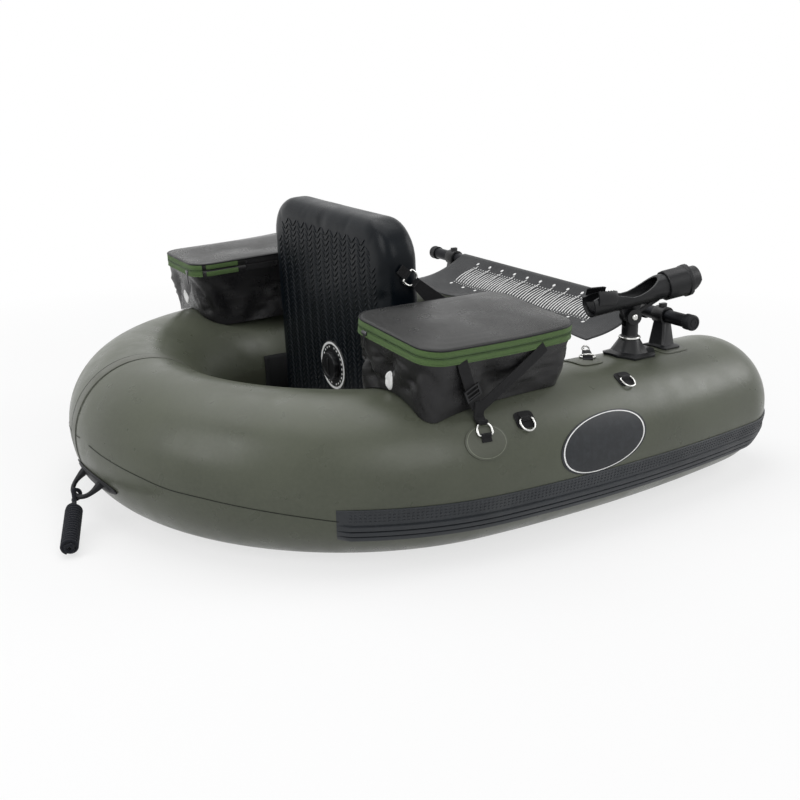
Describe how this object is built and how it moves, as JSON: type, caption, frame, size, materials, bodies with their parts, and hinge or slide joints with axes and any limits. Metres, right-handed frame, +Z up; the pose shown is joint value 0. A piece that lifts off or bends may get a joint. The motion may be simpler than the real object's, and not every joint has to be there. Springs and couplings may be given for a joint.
{
  "type": "float tube",
  "caption": "U-shaped inflatable fishing float tube with folding backrest, lidded side bags, crossbar apron, tilting rod holder and a wound tow rope at the stern.",
  "frame": {"origin": "on the floor below the middle of the part's box, measured without the tow rope", "axes": "+X from the closed stern to the open end, +Y to the left side, +Z up"},
  "size_m": [1.5081, 1.1914, 0.5784],
  "materials": {
    "hull_pvc": "satin olive PVC-coated cloth",
    "strake_rubber": "satin, ribbed along its length",
    "black_rubber": "satin moulded rubber",
    "black_plastic": "satin moulded nylon",
    "bar_alloy": "satin black anodised",
    "apron_pvc": "matt coated cloth",
    "bag_pvc": "matt coated cloth",
    "bag_lid_pvc": "satin coated cloth",
    "stainless": "polished",
    "webbing": "woven webbing",
    "pad_pvc": "satin coated cloth",
    "backrest_pvc": "satin vinyl",
    "seat_foam": "matt coated cloth over foam",
    "rope": "braided cord, wound tight"
  },
  "bodies": {
    "hull": {"hull_tube": "hull_pvc", "stern_handle": "black_rubber", "hull_valve_body": "black_plastic", "crossbar": "bar_alloy", "stripping_apron": "apron_pvc", "rod_base": "black_plastic", "seat_sheet": "apron_pvc", "seat_cushion": "seat_foam", "rope_winding": "rope", "rope_core": "rope", "rope_bight": "rope", "rub_strake_left": "strake_rubber", "rub_strake_right": "strake_rubber", "crossbar_cap_left": "black_plastic", "crossbar_cap_right": "black_plastic", "crossbar_saddle_left": "black_plastic", "crossbar_saddle_right": "black_plastic", "apron_hook_left": "stainless", "apron_hook_right": "stainless", "apron_tie_left": "webbing", "apron_tie_right": "webbing", "apron_ring_left": "stainless", "apron_ring_right": "stainless", "apron_ring_pad_left": "pad_pvc", "apron_ring_pad_right": "pad_pvc", "bag_ring_left": "stainless", "bag_ring_right": "stainless", "bag_ring_pad_left": "pad_pvc", "bag_ring_pad_right": "pad_pvc", "side_ring_pad_left": "webbing", "side_ring_pad_right": "webbing", "gear_ring_pad_left": "webbing", "gear_ring_pad_right": "webbing", "bag_body_left": "bag_pvc", "bag_body_right": "bag_pvc", "bag_strap_left": "webbing", "bag_strap_right": "webbing", "backrest_strap_left": "webbing", "backrest_strap_right": "webbing"},
    "backrest": {"backrest": "backrest_pvc", "backrest_valve_body": "black_plastic", "backrest_ring_left": "stainless", "backrest_ring_right": "stainless", "backrest_tab_left": "webbing", "backrest_tab_right": "webbing"},
    "backrest_valve_cap": {"backrest_valve_cap": "black_plastic"},
    "hull_valve_cap": {"hull_valve_cap": "black_plastic"},
    "rod_post": {"rod_post": "black_plastic", "rod_screw": "stainless"},
    "rod_cradle": {"rod_cradle": "black_plastic"},
    "rod_collar": {"rod_collar": "black_plastic"},
    "bag_lid_left": {"bag_lid_left": "bag_lid_pvc"},
    "bag_lid_right": {"bag_lid_right": "bag_lid_pvc"},
    "bag_slider_left": {"bag_slider_left": "stainless"},
    "bag_slider_right": {"bag_slider_right": "stainless"},
    "side_ring_left": {"side_ring_left": "stainless"},
    "side_ring_right": {"side_ring_right": "stainless"},
    "gear_ring_left": {"gear_ring_left": "stainless"},
    "gear_ring_right": {"gear_ring_right": "stainless"}
  },
  "joints": [
    {"name": "backrest_fold", "type": "hinge", "parent": "hull", "child": "backrest", "pos_m": [-0.05242, 0, 0.1555], "axis": [0, 1, 0], "range_deg": [0, 55], "deforming": ["backrest_strap_left", "backrest_strap_right"]},
    {"name": "backrest_valve_cap_twist", "type": "hinge", "parent": "backrest", "child": "backrest_valve_cap", "pos_m": [-0.14302, -0.019, 0.24112], "axis": [-0.9986, 0, -0.0523], "range_deg": [0, 90]},
    {"name": "hull_valve_cap_twist", "type": "hinge", "parent": "hull", "child": "hull_valve_cap", "pos_m": [0.2934, -0.27601, 0.19437], "axis": [-0.1451, 0.9284, 0.342], "range_deg": [0, 90]},
    {"name": "rod_swivel", "type": "hinge", "parent": "hull", "child": "rod_post", "pos_m": [0.32474, -0.4114, 0.29053], "axis": [0, 0, 1], "range_deg": [-60, 60]},
    {"name": "rod_tilt", "type": "hinge", "parent": "rod_post", "child": "rod_cradle", "pos_m": [0.32474, -0.4114, 0.36553], "axis": [-0.1392, -0.9903, 0], "range_deg": [-10, 25]},
    {"name": "rod_collar_twist", "type": "hinge", "parent": "rod_cradle", "child": "rod_collar", "pos_m": [0.31868, -0.41054, 0.4091], "axis": [0.9806, -0.1378, 0.1392], "range_deg": [0, 90]},
    {"name": "bag_lid_left_hinge", "type": "hinge", "parent": "hull", "child": "bag_lid_left", "pos_m": [-0.13303, 0.30697, 0.41236], "axis": [0.9938, -0.0863, 0.0698], "range_deg": [0, 88]},
    {"name": "bag_lid_right_hinge", "type": "hinge", "parent": "hull", "child": "bag_lid_right", "pos_m": [-0.09515, -0.30766, 0.411], "axis": [-0.9962, -0.0872, 0], "range_deg": [0, 88]},
    {"name": "bag_slider_left_slide", "type": "slide", "parent": "hull", "child": "bag_slider_left", "axis": [0.0871, 0.9962, -0.0087], "range_m": [0, 0.137]},
    {"name": "bag_slider_right_slide", "type": "slide", "parent": "hull", "child": "bag_slider_right", "axis": [0.0867, -0.9907, -0.1045], "range_m": [0, 0.137]},
    {"name": "side_ring_left_swing", "type": "hinge", "parent": "hull", "child": "side_ring_left", "pos_m": [-0.04087, 0.56095, 0.24821], "axis": [0.9998, -0.0198, 0], "range_deg": [0, 150]},
    {"name": "side_ring_right_swing", "type": "hinge", "parent": "hull", "child": "side_ring_right", "pos_m": [-0.04087, -0.56095, 0.24821], "axis": [-0.9998, -0.0198, 0], "range_deg": [0, 150]},
    {"name": "gear_ring_left_swing", "type": "hinge", "parent": "hull", "child": "gear_ring_left", "pos_m": [0.23484, 0.50795, 0.27304], "axis": [0.9926, -0.121, 0], "range_deg": [0, 150]},
    {"name": "gear_ring_right_swing", "type": "hinge", "parent": "hull", "child": "gear_ring_right", "pos_m": [0.23484, -0.50795, 0.27304], "axis": [-0.9926, -0.121, 0], "range_deg": [0, 150]}
  ]
}
